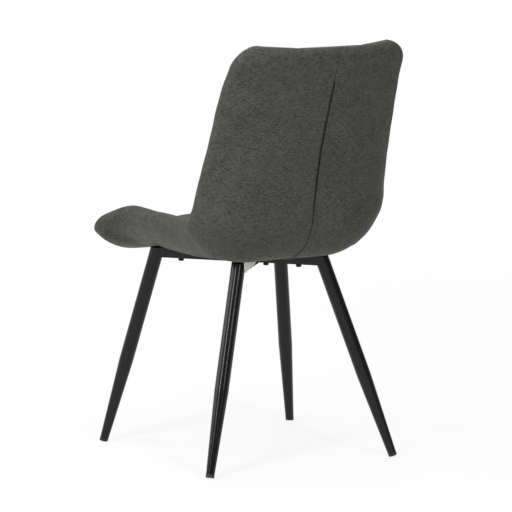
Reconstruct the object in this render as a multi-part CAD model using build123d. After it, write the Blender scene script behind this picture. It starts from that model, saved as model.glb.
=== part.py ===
from build123d import *
import math
import os

# Dining chair: a padded bucket shell bolted to an X of two rails on four splayed, tapered legs.
# Millimetres, +Z up, the sitter faces -Y, +X is the sitter's left, the floor is z = 0.

# Shell line: the middle of the underside and of the back, from the front edge to the top edge
seat_underside = 429.0
front_drop_radius = 346.0
front_drop_angle = 28.0
seat_flat_length = 262.0
bend_radius = 117.0
back_recline = 10.4
back_length = 373.5
back_bow = 7.0

# Half widths of the shell, measured to the start of its rolled edge
half_width_front = 251.0
half_width_knee = 226.0
half_width_seat = 231.5
half_width_hip = 252.0
half_width_waist = 234.0
half_width_shoulder = 224.0
half_width_top = 213.0

# Rise of the shell's sides above its middle
rise_front = 47.0
rise_knee = 63.5
rise_seat = 64.0
rise_hip = 84.0
rise_waist = 62.0
rise_shoulder = 49.5
rise_top = 29.5

# Half widths of the shell's flat middle
flat_half_front = 88.0
flat_half_knee = 122.0
flat_half_seat = 124.0
flat_half_hip = 76.0
flat_half_waist = 39.0
flat_half_shoulder = 29.0
flat_half_top = 26.0
flat_most = 0.65

# Rounded corners in front and on top
front_corner_radius = 55.0
top_corner_radius = 50.0

# Places of those widths along the seat and the back, and how the cross-sections turn with the bend
seat_share = 0.45
hip_above_bend = 20.0
waist_share = 0.42
shoulder_share = 0.76
fan_reach = 75.0
front_lean = 0.85
lean_reach = 60.0
edge_overhang = 0.9

# Padding: rolled edge, crown of the middle lane, depth of the sewn channels beside it
edge_thickness = 34.0
seat_crown = 50.0
seat_channel = 45.0
back_crown = 40.0
back_channel = 33.0
channel_half_spacing = 85.0
side_lane_crown = 2.5
channel_most = 0.5

# Layers of the shell, and the play left between them
cover_thickness = 1.6
layer_gap = 0.4
rear_padding_thickness = 6.0
plywood_thickness = 9.0
plywood_setback = 20.0
plywood_least = 0.3
plywood_end = 11.0
foam_end = 6.0
hem_end = 3.0
cover_end = 0.8
edge_seam_angle = 150.0
cover_seam_angle = 42.0

# Legs: tapered round tube; each foot's place ahead of or behind the flat of the seat, and the splay
leg_diameter = 30.0
foot_diameter = 18.2
leg_wall = 1.5
taper_length = 183.0
front_foot_x = 242.0
front_foot_ahead = 36.7
rear_foot_x = 233.0
rear_foot_behind = 107.3
front_splay_side = 0.201
front_splay_ahead = 0.150
rear_splay_side = 0.302
rear_splay_behind = 0.252

# Foot plugs
plug_sole = 6.0
plug_stem = 22.0
plug_clearance = 0.2
plug_floor_cut = 1.5

# Rails: rectangular tube
rail_width = 25.0
rail_height = 20.0
rail_wall = 1.5
weld_gap = 0.2
front_bolt_inset = 53.5
rear_bolt_inset = 51.0
middle_bolt_behind_crossing = 23.5

# Fasteners
bolt_diameter = 6.0
bolt_hole_play = 0.6
bolt_head_diameter = 12.0
bolt_head_height = 4.0
bolt_head_round = 1.6
bolt_socket = 4.0
bolt_socket_depth = 2.4
flat_washer_diameter = 14.0
flat_washer_thickness = 1.2
spring_washer_diameter = 11.0
spring_washer_thickness = 1.6
spring_washer_slit = 1.2
thread_play = 0.2
tee_flange_diameter = 19.0
tee_flange_thickness = 1.5
tee_barrel_diameter = 8.0
tee_barrel_length = 6.5
tee_play = 0.4

# Dust cover with its staples, and the sewn tag
dust_thickness = 0.8
dust_half_width = 96.0
dust_front_margin = 10.0
dust_rear_margin = 14.0
dust_corner = 18.0
staple_crown = 10.0
staple_wire = 0.8
staple_sink = 0.5
staple_leg = 5.0
staple_pitch = 44.0
staple_margin = 6.0
tag_width = 30.0
tag_drop = 22.0
tag_short_drop = 11.0
tag_thickness = 0.6
tag_seam_gap = 0.1
tag_fold = 0.4
tag_x = 89.5
tag_behind_bend = 20.5

# Spacing of the cross-sections that each stretch of the shell is drawn through
front_corner_spacing = 16.0
top_corner_spacing = 10.0
seat_spacing = 45.0
lower_bend_spacing = 23.0
upper_bend_spacing = 17.0
back_spacing = 42.0
same_place = 0.01

# Shell line, worked out
drop_angle = math.radians(front_drop_angle)
recline = math.radians(back_recline)
bend_turn = math.pi / 2 - recline
front_length = front_drop_radius * drop_angle
bend_length = bend_radius * bend_turn
flat_start = front_length
flat_end = flat_start + seat_flat_length
bend_end = flat_end + bend_length
shell_length = bend_end + back_length
flat_front_y = -seat_flat_length / 2
bend_start_y = seat_flat_length / 2
edge_radius = edge_thickness / 2


def shell_line(s):
    """Point (y, z) of the shell's outer middle line at distance s from the front edge."""
    if s < flat_start:
        turn = (flat_start - s) / front_drop_radius
        y = flat_front_y - front_drop_radius * math.sin(turn)
        return y, seat_underside - front_drop_radius * (1 - math.cos(turn))
    if s < flat_end:
        return flat_front_y + s - flat_start, seat_underside
    turn = min((s - flat_end) / bend_radius, bend_turn)
    y = bend_start_y + bend_radius * math.sin(turn)
    z = seat_underside + bend_radius * (1 - math.cos(turn))
    run = max(s - bend_end, 0.0)
    share = run / back_length
    bow = back_bow * 4 * share * (1 - share)
    y += run * math.sin(recline) - bow * math.cos(recline)
    z += run * math.cos(recline) + bow * math.sin(recline)
    return y, z


def smooth_step(u):
    """0 below 0, 1 above 1, with level ends."""
    u = min(max(u, 0.0), 1.0)
    return u * u * (3 - 2 * u)


def through(knots, s):
    """Smooth curve through (position, value) knots, by cubic pieces with chord slopes."""
    place = [k[0] for k in knots]
    value = [k[1] for k in knots]
    chord = [(value[i + 1] - value[i]) / (place[i + 1] - place[i]) for i in range(len(knots) - 1)]
    inner = [0.0 if a * b <= 0 else 2 * a * b / (a + b) for a, b in zip(chord, chord[1:])]
    slope = [chord[0]] + inner + [chord[-1]]
    i = 0
    while i < len(knots) - 2 and s > place[i + 1]:
        i += 1
    step = place[i + 1] - place[i]
    u = (s - place[i]) / step
    start = (1 + 2 * u) * (1 - u) ** 2 * value[i] + u * (1 - u) ** 2 * step * slope[i]
    end = u * u * (3 - 2 * u) * value[i + 1] + u * u * (u - 1) * step * slope[i + 1]
    return start + end


def corner_cut(run, radius):
    """How far a rounded corner has drawn the side in, at a distance run from the end."""
    left = max(radius - run, 0.0)
    return radius - math.sqrt(radius * radius - left * left)


# Where along the shell line the half widths and rises above hold
hip_place = (flat_end + bend_end) / 2 + hip_above_bend
waist_place = bend_end + waist_share * back_length
shoulder_place = bend_end + shoulder_share * back_length
seat_place = flat_start + seat_share * seat_flat_length
knots_at = [0.0, flat_start, seat_place, hip_place, waist_place, shoulder_place, shell_length]
widths = [half_width_front, half_width_knee, half_width_seat, half_width_hip,
          half_width_waist, half_width_shoulder, half_width_top]
rises = [rise_front, rise_knee, rise_seat, rise_hip, rise_waist, rise_shoulder, rise_top]
flats = [flat_half_front, flat_half_knee, flat_half_seat, flat_half_hip,
         flat_half_waist, flat_half_shoulder, flat_half_top]


class Station:
    """One flat cross-section of the shell: x to the side, h inwards from the outer middle line."""

    def __init__(self, s):
        self.y, self.z = shell_line(s)
        self.s = s
        middle = (flat_end + bend_end) / 2
        reach = bend_length / 2 + fan_reach
        fan = bend_turn * smooth_step((s - middle + reach) / (2 * reach))
        lean = drop_angle * front_lean * smooth_step(1 - s / (flat_start + lean_reach))
        self.angle = fan - lean
        end_run = min(s, shell_length - s)
        left = max(1 - end_run / edge_radius, 0.0)
        self.round = math.sqrt(1 - left * left)
        half = through(list(zip(knots_at, widths)), s)
        half -= corner_cut(s, front_corner_radius)
        half -= corner_cut(shell_length - s, top_corner_radius)
        rise = through(list(zip(knots_at, rises)), s)
        reach_x = half - edge_overhang * edge_radius * self.round
        self.flat = min(through(list(zip(knots_at, flats)), s), flat_most * reach_x)
        side = reach_x - self.flat
        self.radius = (side * side + rise * rise) / (2 * rise)
        self.sweep = math.atan2(side, self.radius - rise)
        self.back_share = smooth_step((s - flat_end) / bend_length)
        self.crown = seat_crown + (back_crown - seat_crown) * self.back_share
        self.channel = seat_channel + (back_channel - seat_channel) * self.back_share
        self.padding = rear_padding_thickness * self.back_share

    def place(self, x, h):
        """Section point as a point in space."""
        return Vector(x, self.y - h * math.sin(self.angle), self.z + h * math.cos(self.angle))

    def depth(self, h):
        """Depth h of a full section, drawn towards the middle of the edge near the shell's ends."""
        return edge_radius + (h - edge_radius) * self.round

    def wall(self, h, sweep):
        """Point on the curved side, at depth h and at an angle from the flat."""
        r = self.radius - h
        return self.flat + r * math.sin(sweep), self.radius - r * math.cos(sweep)

    def rise_at(self, x):
        """Rise of the outer face at a distance x from the middle."""
        beyond = max(x - self.flat, 0.0)
        return self.radius - math.sqrt(self.radius * self.radius - beyond * beyond)

    def edge(self, inset, turn):
        """Point on the rolled edge, inset from its face, turned from the outside to the inside."""
        cx, ch = self.wall(edge_radius, self.sweep)
        r = edge_radius * self.round - inset
        out = math.sin(turn) * r
        back = -math.cos(turn) * r
        x = cx + out * math.cos(self.sweep) - back * math.sin(self.sweep)
        h = ch + out * math.sin(self.sweep) + back * math.cos(self.sweep)
        return x, h

    def outer_depth(self, inset):
        """Depth of a layer that lies inset from the outer face."""
        return edge_radius * (1 - self.round) + inset

    def plywood_sweep(self):
        """Angle at which the plywood's side edge stands."""
        return max(self.sweep - plywood_setback / self.radius, plywood_least * self.sweep)


class Outline:
    """Closed wire in one station's plane, drawn point by point with lines and arcs."""

    def __init__(self, station, start):
        self.station = station
        self.start = start
        self.at = start
        self.edges = []

    def line(self, point):
        ends = [self.station.place(*self.at), self.station.place(*point)]
        self.edges.append(Edge.make_line(*ends))
        self.at = point

    def arc(self, middle, point):
        points = [self.station.place(*p) for p in (self.at, middle, point)]
        self.edges.append(Edge.make_three_point_arc(*points))
        self.at = point

    def closed(self):
        self.line(self.start)
        return Wire(self.edges)


def mirrored(point):
    return -point[0], point[1]


def lane_middle(a, b):
    """Middle of a side lane between the edge and the channel, with its crown."""
    length = math.hypot(b[0] - a[0], b[1] - a[1])
    nx = -(a[1] - b[1]) / length
    nh = (a[0] - b[0]) / length
    if nh < 0:
        nx, nh = -nx, -nh
    return (a[0] + b[0]) / 2 + nx * side_lane_crown, (a[1] + b[1]) / 2 + nh * side_lane_crown


def inner_face(station, inset):
    """Points of the sitting side on the +X half: edge, side lane, channel, crown."""
    edge = station.edge(inset, math.pi)
    spacing = min(channel_half_spacing, channel_most * edge[0])
    channel = (spacing, station.rise_at(spacing) + station.depth(station.channel) - inset)
    crown = (0.0, station.depth(station.crown) - inset)
    return edge, lane_middle(edge, channel), channel, crown


def cover_depth(station):
    """Cover thickness; at the very ends the folded hem closes the roll."""
    if min(station.s, shell_length - station.s) < hem_end - same_place:
        return edge_radius * station.round - layer_gap
    return cover_thickness


def rear_cover_wire(station, side):
    """Outside cover from the centre seam to past the rolled edge, on one side."""
    thick = cover_depth(station)
    outer = station.outer_depth(0.0)
    inner = station.outer_depth(thick)
    seam = layer_gap / 2
    turn = math.radians(edge_seam_angle)

    def put(p):
        return (side * p[0], p[1])

    path = Outline(station, put((seam, outer)))
    path.line(put((station.flat, outer)))
    path.arc(put(station.wall(outer, station.sweep / 2)), put(station.wall(outer, station.sweep)))
    path.arc(put(station.edge(0, turn / 4)), put(station.edge(0, turn / 2)))
    path.arc(put(station.edge(0, 3 * turn / 4)), put(station.edge(0, turn)))
    path.line(put(station.edge(thick, turn)))
    path.arc(put(station.edge(thick, 3 * turn / 4)), put(station.edge(thick, turn / 2)))
    path.arc(put(station.edge(thick, turn / 4)), put(station.edge(thick, 0)))
    path.arc(put(station.wall(inner, station.sweep / 2)), put((station.flat, inner)))
    path.line(put((seam, inner)))
    return path.closed()


def front_cover_wire(station):
    """Sitting-side cover between its two edge seams."""
    thick = cover_depth(station)
    seam = math.radians(edge_seam_angle) + layer_gap / (edge_radius * station.round)
    half = (seam + math.pi) / 2
    edge, lane, channel, crown = inner_face(station, 0.0)
    edge_in, lane_in, channel_in, crown_in = inner_face(station, thick)
    path = Outline(station, station.edge(0, seam))
    path.arc(station.edge(0, half), edge)
    path.arc(lane, channel)
    path.arc(crown, mirrored(channel))
    path.arc(mirrored(lane), mirrored(edge))
    path.arc(mirrored(station.edge(0, half)), mirrored(station.edge(0, seam)))
    path.line(mirrored(station.edge(thick, seam)))
    path.arc(mirrored(station.edge(thick, half)), mirrored(edge_in))
    path.arc(mirrored(lane_in), mirrored(channel_in))
    path.arc(crown_in, channel_in)
    path.arc(lane_in, edge_in)
    path.arc(station.edge(thick, half), station.edge(thick, seam))
    return path.closed()


def plywood_depths(station):
    """Outer and inner depth of the plywood."""
    outer = cover_thickness + layer_gap + station.padding + layer_gap
    return station.depth(outer), station.depth(outer + plywood_thickness)


def foam_wire(station):
    """Sitting-side foam: over the plywood, and rolled round its side edges."""
    inset = cover_thickness + layer_gap
    under = plywood_depths(station)[1] + layer_gap
    outer = station.outer_depth(inset)
    step = station.plywood_sweep() + layer_gap / station.radius
    low = (step + station.sweep) / 2
    edge, lane, channel, crown = inner_face(station, inset)
    half = [station.wall(under, step / 2), station.wall(under, step), station.wall(outer, step),
            station.wall(outer, low), station.wall(outer, station.sweep),
            station.edge(inset, math.pi / 4), station.edge(inset, math.pi / 2),
            station.edge(inset, 3 * math.pi / 4), edge, lane, channel]
    path = Outline(station, (-station.flat, under))
    path.line((station.flat, under))
    path.arc(half[0], half[1])
    path.line(half[2])
    path.arc(half[3], half[4])
    path.arc(half[5], half[6])
    path.arc(half[7], half[8])
    path.arc(half[9], half[10])
    path.arc(crown, mirrored(half[10]))
    path.arc(mirrored(half[9]), mirrored(half[8]))
    path.arc(mirrored(half[7]), mirrored(half[6]))
    path.arc(mirrored(half[5]), mirrored(half[4]))
    path.arc(mirrored(half[3]), mirrored(half[2]))
    path.line(mirrored(half[1]))
    path.arc(mirrored(half[0]), (-station.flat, under))
    return Wire(path.edges)


def band_wire(station, outer, inner):
    """Band between two depths, across the flat and both sides up to the plywood's edges."""
    sweep = station.plywood_sweep()
    path = Outline(station, (-station.flat, outer))
    path.line((station.flat, outer))
    path.arc(station.wall(outer, sweep / 2), station.wall(outer, sweep))
    path.line(station.wall(inner, sweep))
    path.arc(station.wall(inner, sweep / 2), (station.flat, inner))
    path.line((-station.flat, inner))
    path.arc(mirrored(station.wall(inner, sweep / 2)), mirrored(station.wall(inner, sweep)))
    path.line(mirrored(station.wall(outer, sweep)))
    path.arc(mirrored(station.wall(outer, sweep / 2)), (-station.flat, outer))
    return Wire(path.edges)


def plywood_wire(station):
    return band_wire(station, *plywood_depths(station))


def rear_padding_wire(station):
    outer = station.outer_depth(cover_thickness + layer_gap)
    return band_wire(station, outer, plywood_depths(station)[0] - layer_gap)


def spread(start, end, steps):
    """Evenly spaced values from start to end, both included."""
    return [start + (end - start) * i / steps for i in range(steps + 1)]


def onward(start, end, spacing):
    """Evenly spaced values beyond start, up to end, about a spacing apart."""
    return spread(start, end, max(round((end - start) / spacing), 1))[1:]


# Places of the cross-sections: close together on the rolled ends and in the bend
cover_seam = flat_end + bend_radius * math.radians(cover_seam_angle)
fan_start = flat_end - fan_reach
fan_end = bend_end + fan_reach
roll = [cover_end, hem_end, foam_end, plywood_end, edge_radius]
top_runs = roll + onward(edge_radius, top_corner_radius, top_corner_spacing)
top_places = [shell_length - run for run in top_runs]
places = roll + onward(edge_radius, front_corner_radius, front_corner_spacing)
places += onward(front_corner_radius, fan_start, seat_spacing)
places += onward(fan_start, cover_seam, lower_bend_spacing)
places += onward(cover_seam, fan_end, upper_bend_spacing)
places += onward(fan_end, top_places[-1], back_spacing) + top_places[-2::-1]
stations = [Station(s) for s in places]


def lofted(wire_of, low, high):
    """Solid through the sections of one layer between two places on the shell line."""
    chosen = [st for st in stations if low - same_place <= st.s <= high + same_place]
    return Solid.make_loft([wire_of(st) for st in chosen], ruled=True)


def only(shape):
    """The one solid of a shape."""
    return shape.solids()[0]


def disc(x, y, z, diameter, height):
    """Upright cylinder standing on z."""
    return Solid.make_cylinder(diameter / 2, height, Plane((x, y, z)))


# Heights of the stack under the seat
dust_top = seat_underside - layer_gap
dust_bottom = dust_top - dust_thickness
rail_top = dust_bottom - layer_gap
rail_bottom = rail_top - rail_height
rail_middle = rail_top - rail_height / 2
plywood_bottom = seat_underside + cover_thickness + 2 * layer_gap
plywood_top = plywood_bottom + plywood_thickness
washer_bottom = rail_bottom - flat_washer_thickness
spring_bottom = washer_bottom - spring_washer_thickness
head_bottom = spring_bottom - bolt_head_height


class LegLine:
    """Axis of one leg, from the middle of its sole upwards and inwards."""

    def __init__(self, x, y, slope_x, slope_y):
        tilt = math.atan(math.hypot(slope_x, slope_y))
        self.sole = Vector(x, y, foot_diameter / 2 * math.sin(tilt) - plug_floor_cut)
        self.slope = Vector(slope_x, slope_y, 1.0)
        self.plane = Plane(self.sole, z_dir=self.slope)

    def at(self, z):
        return self.sole + self.slope * (z - self.sole.Z)


legs = {}
for side_name, side in (("left", 1), ("right", -1)):
    legs["front_" + side_name] = LegLine(side * front_foot_x, flat_front_y - front_foot_ahead,
                                         -side * front_splay_side, front_splay_ahead)
    legs["rear_" + side_name] = LegLine(side * rear_foot_x, bend_start_y + rear_foot_behind,
                                        -side * rear_splay_side, -rear_splay_behind)


def leg_tube(line):
    """Round tube with a tapered lower end, cut level with the top of the rails."""
    length = 2 * rail_top
    r = leg_diameter / 2
    foot_r = foot_diameter / 2
    points = [(foot_r, plug_sole), (r, taper_length), (r, length),
              (r - leg_wall, length), (r - leg_wall, taper_length), (foot_r - leg_wall, plug_sole)]
    face = Face(Wire.make_polygon([(x, 0, z) for x, z in points], close=True))
    tube = Solid.revolve(face, 360, Axis.Z).moved(line.plane.location)
    above = Solid.make_box(2 * length, 2 * length, length, Plane((-length, -length, rail_top)))
    return only(tube - above)


def foot_plug(line):
    """Plug with a stem in the tube's end and a sole below it, flattened where it meets the floor."""
    stem_r = foot_diameter / 2 - leg_wall - plug_clearance
    sole = Solid.make_cylinder(foot_diameter / 2, plug_sole)
    stem = Solid.make_cylinder(stem_r, plug_sole + plug_stem)
    plug = (sole + stem).moved(line.plane.location)
    size = 4 * foot_diameter
    corner = (line.sole.X - size / 2, line.sole.Y - size / 2, -size)
    return only(plug - Solid.make_box(size, size, size, Plane(corner)))


def rail_plane(start, end):
    """Plane at the rail's start, x along the rail, z up."""
    return Plane(start, x_dir=end - start, z_dir=(0, 0, 1))


def rail_box(start, end, width, height):
    """Bar from start to end, centred on the line between them."""
    length = (end - start).length
    plane = rail_plane(start, end)
    corner = start - plane.y_dir * (width / 2) - Vector(0, 0, height / 2)
    return Solid.make_box(length, width, height, Plane(corner, x_dir=end - start, z_dir=(0, 0, 1)))


def leg_bore(line):
    """Space that a leg takes up, with room for its weld."""
    return Solid.make_cylinder(leg_diameter / 2 + weld_gap, 2 * rail_top, line.plane)


def rail_tube(front, rear):
    """Rectangular tube between two legs, its ends cut to the legs' round."""
    start = front.at(rail_middle)
    end = rear.at(rail_middle)
    bar = rail_box(start, end, rail_width, rail_height)
    hollow = rail_box(start, end, rail_width - 2 * rail_wall, rail_height - 2 * rail_wall)
    return only(bar - hollow - leg_bore(front) - leg_bore(rear))


bolt_points = []
for front_name, rear_name in (("front_left", "rear_right"), ("front_right", "rear_left")):
    start = legs[front_name].at(rail_middle)
    end = legs[rear_name].at(rail_middle)
    along = (end - start).normalized()
    crossing_at = -start.X / along.X
    bolt_points += [start + along * front_bolt_inset,
                    start + along * (crossing_at + middle_bolt_behind_crossing),
                    end - along * rear_bolt_inset]


def at_bolts(make):
    """One piece at each frame bolt."""
    return [make(p.X, p.Y) for p in bolt_points]


def ring(x, y, z, outer, inner, height):
    return disc(x, y, z, outer, height) - disc(x, y, z, inner, height)


def frame_bolt(x, y):
    """Socket-head bolt standing head down."""
    head = disc(x, y, head_bottom, bolt_head_diameter, bolt_head_height)
    head = head.fillet(bolt_head_round, [head.edges().sort_by(Axis.Z)[0]])
    shank = disc(x, y, spring_bottom, bolt_diameter, plywood_top - layer_gap - spring_bottom)
    hexagon = RegularPolygon(bolt_socket / 2, 6, major_radius=False).face()
    socket = Solid.extrude(hexagon.moved(Location((x, y, head_bottom))), Vector(0, 0, bolt_socket_depth))
    return only(head + shank - socket)


def flat_washer(x, y):
    return only(ring(x, y, washer_bottom, flat_washer_diameter, bolt_diameter + bolt_hole_play,
                     flat_washer_thickness))


def spring_washer(x, y):
    """Split ring."""
    inner = bolt_diameter + thread_play
    body = ring(x, y, spring_bottom, spring_washer_diameter, inner, spring_washer_thickness)
    slit = Solid.make_box(spring_washer_diameter, spring_washer_slit, spring_washer_thickness,
                          Plane((x, y - spring_washer_slit / 2, spring_bottom)))
    return only(body - slit)


tee_flange_bottom = plywood_top - tee_flange_thickness


def tee_nut(x, y):
    """Flanged nut let into the plywood from above."""
    flange = disc(x, y, tee_flange_bottom, tee_flange_diameter, tee_flange_thickness)
    barrel_bottom = tee_flange_bottom - tee_barrel_length
    barrel = disc(x, y, barrel_bottom, tee_barrel_diameter, tee_barrel_length)
    bore = disc(x, y, barrel_bottom, bolt_diameter + thread_play, plywood_top - barrel_bottom)
    return only(flange + barrel - bore)


def bolt_hole(x, y):
    return disc(x, y, 0, bolt_diameter + bolt_hole_play, plywood_top)


def tee_seat(x, y):
    """Hole for the barrel and sinking for the flange."""
    hole = disc(x, y, 0, tee_barrel_diameter + tee_play, plywood_top)
    sinking = disc(x, y, tee_flange_bottom, tee_flange_diameter + tee_play, seat_crown)
    return hole + sinking


# Dust cover: a rounded sheet on the flat of the underside
dust_front = flat_front_y + dust_front_margin
dust_rear = bend_start_y - dust_rear_margin
dust_length = dust_rear - dust_front
dust_middle = (dust_front + dust_rear) / 2
dust_shape = RectangleRounded(2 * dust_half_width, dust_length, dust_corner).face()
dust_sheet = Solid.extrude(dust_shape.moved(Location((0, dust_middle, dust_bottom))),
                           Vector(0, 0, dust_thickness))


def staple(x, y, turned):
    """Wire staple, its crown sunk into the sheet, along x or turned along y."""
    def bar(start, length, height):
        place = (start - staple_crown / 2, -staple_wire / 2, 0)
        return Solid.make_box(length, staple_wire, height, Plane(place))
    crown = bar(0, staple_crown, staple_sink)
    ends = [bar(0, staple_wire, staple_leg), bar(staple_crown - staple_wire, staple_wire, staple_leg)]
    return only(crown + ends).moved(Location((x, y, dust_bottom), (0, 0, 90 if turned else 0)))


def run_of(length):
    """Staple places along a straight run, centred."""
    return spread(-length / 2, length / 2, max(int(length / staple_pitch), 1))


staple_x = dust_half_width - staple_margin
staple_y = dust_length / 2 - staple_margin
side_run = dust_length - 2 * dust_corner - staple_crown
end_run = 2 * (dust_half_width - dust_corner) - staple_crown
staples = []
for sign in (-1, 1):
    staples += [staple(sign * staple_x, dust_middle + run, True) for run in run_of(side_run)]
    staples += [staple(run, dust_middle + sign * staple_y, False) for run in run_of(end_run)]

# Shell layers, from the plywood outwards
seat_holes = at_bolts(bolt_hole)
plywood = lofted(plywood_wire, plywood_end, shell_length - plywood_end)
left_cover = lofted(lambda st: rear_cover_wire(st, 1), cover_end, shell_length - cover_end)
right_cover = lofted(lambda st: rear_cover_wire(st, -1), cover_end, shell_length - cover_end)
nodes = {}
nodes["plywood_shell"] = only(plywood - at_bolts(tee_seat) - staples)
nodes["seat_foam"] = lofted(foam_wire, foam_end, cover_seam)
nodes["back_foam"] = lofted(foam_wire, cover_seam, shell_length - foam_end)
nodes["rear_padding"] = lofted(rear_padding_wire, cover_seam, shell_length - plywood_end)
nodes["seat_cover"] = lofted(front_cover_wire, cover_end, cover_seam)
nodes["back_cover"] = lofted(front_cover_wire, cover_seam, shell_length - cover_end)
nodes["rear_cover_left"] = only(left_cover - seat_holes - staples)
nodes["rear_cover_right"] = only(right_cover - seat_holes - staples)
nodes["dust_cover"] = only(dust_sheet - seat_holes - staples)
nodes["dust_cover_staples"] = Compound(staples)

# Rails: one whole diagonal, and two halves that butt against its sides
main_rail = rail_tube(legs["front_left"], legs["rear_right"])
cross_rail = rail_tube(legs["front_right"], legs["rear_left"])
main_start = legs["front_left"].at(rail_middle)
main_end = legs["rear_right"].at(rail_middle)
crossing = rail_box(main_start, main_end, rail_width + 2 * weld_gap, 2 * rail_height)
halves = (cross_rail - crossing - seat_holes).solids().sort_by(Axis.Y)
nodes["main_rail"] = only(main_rail - seat_holes)
nodes["cross_rail_front"] = halves[0]
nodes["cross_rail_rear"] = halves[-1]

# Legs with their plugs
for name, line in legs.items():
    nodes["leg_" + name] = leg_tube(line)
    nodes["foot_plug_" + name] = foot_plug(line)

# Fasteners
nodes["frame_bolts"] = Compound(at_bolts(frame_bolt))
nodes["flat_washers"] = Compound(at_bolts(flat_washer))
nodes["spring_washers"] = Compound(at_bolts(spring_washer))
nodes["tee_nuts"] = Compound(at_bolts(tee_nut))

# Sewn tag, hanging from the underside behind the rails
tag_y, tag_top = shell_line(flat_end + tag_behind_bend)
tag_top -= tag_seam_gap
tag_half = tag_width / 2
tag_corners = [(tag_x - tag_half, tag_top), (tag_x + tag_half, tag_top),
               (tag_x + tag_half, tag_top - tag_drop),
               (tag_x - tag_fold * tag_half, tag_top - tag_short_drop)]
tag_face = Face(Wire.make_polygon([(x, tag_y, z) for x, z in tag_corners], close=True))
nodes["sewn_tag"] = Solid.extrude(tag_face, Vector(0, tag_thickness, 0))

# Centre the chair over the origin and write each piece
whole = Compound(list(nodes.values())).bounding_box()
centring = Location((0, -(whole.min.Y + whole.max.Y) / 2, 0))
os.makedirs("parts", exist_ok=True)
for name, shape in nodes.items():
    export_step(shape.moved(centring), f"parts/{name}.step")
print("overall", [round(v, 1) for v in whole.size], "centred by", round(centring.position.Y, 2))
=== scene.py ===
import math
import bmesh
import bpy
import numpy as np
from mathutils import Matrix, Vector


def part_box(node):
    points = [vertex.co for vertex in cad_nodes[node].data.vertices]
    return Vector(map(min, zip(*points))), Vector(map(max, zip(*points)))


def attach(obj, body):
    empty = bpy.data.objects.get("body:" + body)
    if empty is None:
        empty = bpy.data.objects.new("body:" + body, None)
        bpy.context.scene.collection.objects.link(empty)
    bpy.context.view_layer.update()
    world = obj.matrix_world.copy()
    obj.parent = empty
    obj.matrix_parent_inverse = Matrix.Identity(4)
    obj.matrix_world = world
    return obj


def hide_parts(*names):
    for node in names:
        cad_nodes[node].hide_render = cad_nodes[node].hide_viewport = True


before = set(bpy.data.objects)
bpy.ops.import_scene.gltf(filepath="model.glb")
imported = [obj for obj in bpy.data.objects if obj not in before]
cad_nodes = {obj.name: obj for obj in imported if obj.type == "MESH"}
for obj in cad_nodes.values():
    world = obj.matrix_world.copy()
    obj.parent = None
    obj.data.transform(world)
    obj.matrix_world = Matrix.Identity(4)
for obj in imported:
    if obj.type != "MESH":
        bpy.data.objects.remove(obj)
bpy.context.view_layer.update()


# Legs and rails
# Four round steel tubes, drawn to a taper at the foot, and rectangular steel tube crossing under the seat.
# They are welded together and powder coated black in one go, which leaves an even half gloss, barely pebbled.
def linear(code):
    """Linear colour of an sRGB hex code, by the sRGB curve."""
    parts = np.array([int(code[i:i + 2], 16) for i in (1, 3, 5)]) / 255
    curved = np.where(parts <= 0.04045, parts / 12.92, ((parts + 0.055) / 1.055) ** 2.4)
    return (*curved.tolist(), 1.0)


def add_node(finish, kind, settings=None, links=None):
    """Adds one node: settings fill its properties or sockets, links join its sockets to other outputs."""
    made = finish.node_tree.nodes.new(kind)
    for name, value in (settings or {}).items():
        if isinstance(name, int) or name in made.inputs:
            made.inputs[name].default_value = value
        else:
            setattr(made, name, value)
    for name, source in (links or {}).items():
        finish.node_tree.links.new(source, made.inputs[name])
    return made


def new_finish(name):
    """An empty material, ready for its nodes."""
    finish = bpy.data.materials.new(name)
    finish.use_nodes = True
    finish.node_tree.nodes.clear()
    return finish


def dress(finish, *names):
    """Gives a finish to construction pieces."""
    for name in names:
        mesh = cad_nodes[name].data
        mesh.materials.clear()
        mesh.materials.append(finish)


peel_size = 0.0014
sheen_patch = 0.06
powder_coat = new_finish("black_powder_coat_on_steel")
coords = add_node(powder_coat, "ShaderNodeTexCoord").outputs["Object"]
peel = add_node(powder_coat, "ShaderNodeTexNoise", {"Scale": 1 / peel_size, "Detail": 2.0},
                {"Vector": coords})
patch = add_node(powder_coat, "ShaderNodeTexNoise", {"Scale": 1 / sheen_patch, "Detail": 3.0},
                 {"Vector": coords})
tone = add_node(powder_coat, "ShaderNodeValToRGB", None, {"Fac": patch.outputs["Fac"]})
tone.color_ramp.elements[0].color = linear("#0d0d0c")
tone.color_ramp.elements[1].color = linear("#151514")
gloss = add_node(powder_coat, "ShaderNodeMapRange", {"To Min": 0.16, "To Max": 0.24},
                 {"Value": patch.outputs["Fac"]})
pebble = add_node(powder_coat, "ShaderNodeBump", {"Strength": 0.03, "Distance": 0.0002},
                  {"Height": peel.outputs["Fac"]})
skin = add_node(powder_coat, "ShaderNodeBsdfPrincipled", {"IOR": 1.5, "Specular IOR Level": 0.29},
                {"Base Color": tone.outputs["Color"], "Roughness": gloss.outputs["Result"],
                 "Normal": pebble.outputs["Normal"]})
add_node(powder_coat, "ShaderNodeOutputMaterial", None, {"Surface": skin.outputs["BSDF"]})
dress(powder_coat, "main_rail", "cross_rail_front", "cross_rail_rear", "leg_front_left", "leg_front_right",
      "leg_rear_left", "leg_rear_right")


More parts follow.
